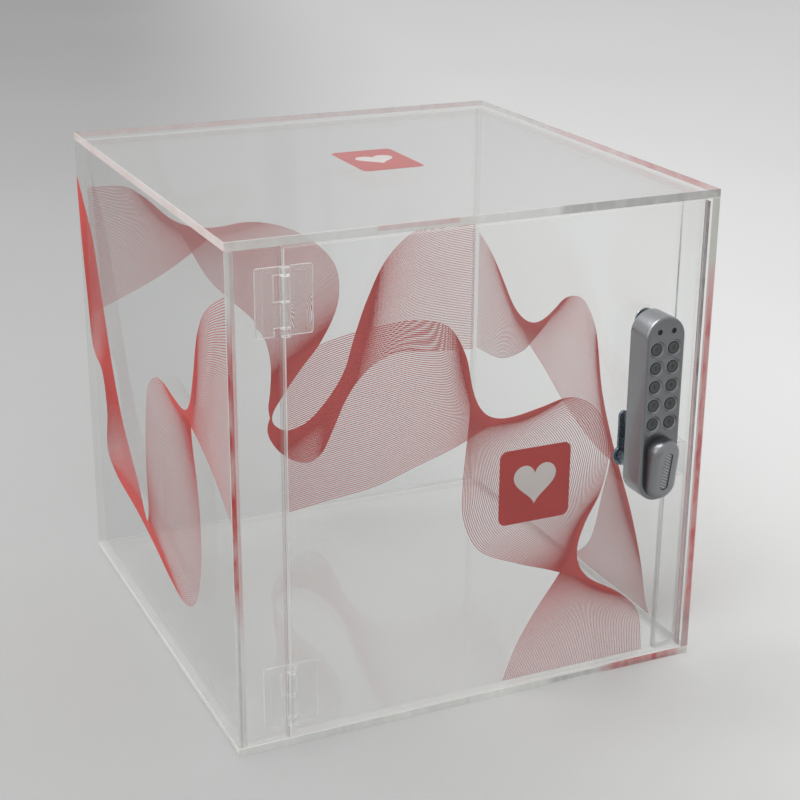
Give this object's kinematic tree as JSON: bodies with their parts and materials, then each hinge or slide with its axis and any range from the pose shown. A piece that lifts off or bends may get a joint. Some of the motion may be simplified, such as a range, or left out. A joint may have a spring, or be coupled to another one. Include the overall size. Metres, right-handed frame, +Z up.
{
  "type": "donation box",
  "caption": "Clear acrylic cube cabinet for collecting donations, with a side-hung front door, clear leaf hinges and a battery keypad cam lock.",
  "frame": {"origin": "centre of the underside", "axes": "+Z up, the door and its lock face -Y, the hinges are on the -X side"},
  "size_m": [0.36, 0.3961, 0.36],
  "materials": {
    "clear_acrylic": "clear cast acrylic sheet with polished edges",
    "hinge_plastic": "clear moulded acrylic",
    "lock_satin": "satin grey plated zinc casting",
    "insert_grey": "fine textured grey plate",
    "button_grey": "dark grey caps with raised digits",
    "gasket_rubber": "matt black rubber",
    "bright_steel": "bright zinc plated steel",
    "board_green": "green solder mask",
    "window_dark": "dark gloss light pipe",
    "tray_black": "matt black moulding",
    "cell_sleeve": "printed film over a steel can",
    "coil_copper": "lacquered copper winding",
    "red_ink": "red printed ink",
    "white_ink": "white printed ink"
  },
  "bodies": {
    "cabinet": {"top_panel": "clear_acrylic", "bottom_panel": "clear_acrylic", "left_panel": "clear_acrylic", "right_panel": "clear_acrylic", "back_panel": "clear_acrylic", "hinge_strip": "clear_acrylic", "stop_strip": "clear_acrylic", "strike_pad": "clear_acrylic", "upper_hinge_fixed_leaf": "hinge_plastic", "upper_hinge_pin": "hinge_plastic", "lower_hinge_fixed_leaf": "hinge_plastic", "lower_hinge_pin": "hinge_plastic"},
    "door": {"door_panel": "clear_acrylic", "upper_hinge_door_leaf": "hinge_plastic", "lower_hinge_door_leaf": "hinge_plastic", "lock_case": "lock_satin", "lock_gasket": "gasket_rubber", "lock_back_plate": "bright_steel", "back_plate_screws": "bright_steel", "keypad_mat": "gasket_rubber", "circuit_board": "board_green", "light_windows": "window_dark", "battery_tray": "tray_black", "batteries": "cell_sleeve", "battery_contacts": "bright_steel", "latch_solenoid": "coil_copper", "lock_barrel": "bright_steel", "barrel_nut": "bright_steel", "fixing_screw": "bright_steel", "fixing_washer": "bright_steel"},
    "knob": {"knob": "lock_satin", "knob_insert": "insert_grey", "spindle": "bright_steel", "latch_collar": "bright_steel", "cam": "bright_steel", "cam_washer": "bright_steel", "cam_screw": "bright_steel"},
    "plunger": {"solenoid_plunger": "bright_steel"},
    "button_1": {"button_1": "button_grey"},
    "button_2": {"button_2": "button_grey"},
    "button_3": {"button_3": "button_grey"},
    "button_4": {"button_4": "button_grey"},
    "button_5": {"button_5": "button_grey"},
    "button_6": {"button_6": "button_grey"},
    "button_7": {"button_7": "button_grey"},
    "button_8": {"button_8": "button_grey"},
    "button_9": {"button_9": "button_grey"},
    "button_0": {"button_0": "button_grey"}
  },
  "joints": [
    {"name": "door_hinge", "type": "hinge", "parent": "cabinet", "child": "door", "pos_m": [-0.1421, -0.1836, 0], "axis": [0, 0, -1], "range_deg": [0, 180]},
    {"name": "knob_turn", "type": "hinge", "parent": "door", "child": "knob", "pos_m": [0.1284, -0.18, 0.1613], "axis": [0, 1, 0], "range_deg": [0, 90]},
    {"name": "plunger_slide", "type": "slide", "parent": "door", "child": "plunger", "axis": [0, 0, -1], "range_m": [0, 0.002], "stiffness_N_per_m": 200, "springref_m": -0.001},
    {"name": "press_1", "type": "slide", "parent": "door", "child": "button_1", "axis": [0, 1, 0], "range_m": [0, 0.0012], "stiffness_N_per_m": 800, "springref_m": -0.0005},
    {"name": "press_2", "type": "slide", "parent": "door", "child": "button_2", "axis": [0, 1, 0], "range_m": [0, 0.0012], "stiffness_N_per_m": 800, "springref_m": -0.0005},
    {"name": "press_3", "type": "slide", "parent": "door", "child": "button_3", "axis": [0, 1, 0], "range_m": [0, 0.0012], "stiffness_N_per_m": 800, "springref_m": -0.0005},
    {"name": "press_4", "type": "slide", "parent": "door", "child": "button_4", "axis": [0, 1, 0], "range_m": [0, 0.0012], "stiffness_N_per_m": 800, "springref_m": -0.0005},
    {"name": "press_5", "type": "slide", "parent": "door", "child": "button_5", "axis": [0, 1, 0], "range_m": [0, 0.0012], "stiffness_N_per_m": 800, "springref_m": -0.0005},
    {"name": "press_6", "type": "slide", "parent": "door", "child": "button_6", "axis": [0, 1, 0], "range_m": [0, 0.0012], "stiffness_N_per_m": 800, "springref_m": -0.0005},
    {"name": "press_7", "type": "slide", "parent": "door", "child": "button_7", "axis": [0, 1, 0], "range_m": [0, 0.0012], "stiffness_N_per_m": 800, "springref_m": -0.0005},
    {"name": "press_8", "type": "slide", "parent": "door", "child": "button_8", "axis": [0, 1, 0], "range_m": [0, 0.0012], "stiffness_N_per_m": 800, "springref_m": -0.0005},
    {"name": "press_9", "type": "slide", "parent": "door", "child": "button_9", "axis": [0, 1, 0], "range_m": [0, 0.0012], "stiffness_N_per_m": 800, "springref_m": -0.0005},
    {"name": "press_0", "type": "slide", "parent": "door", "child": "button_0", "axis": [0, 1, 0], "range_m": [0, 0.0012], "stiffness_N_per_m": 800, "springref_m": -0.0005}
  ]
}
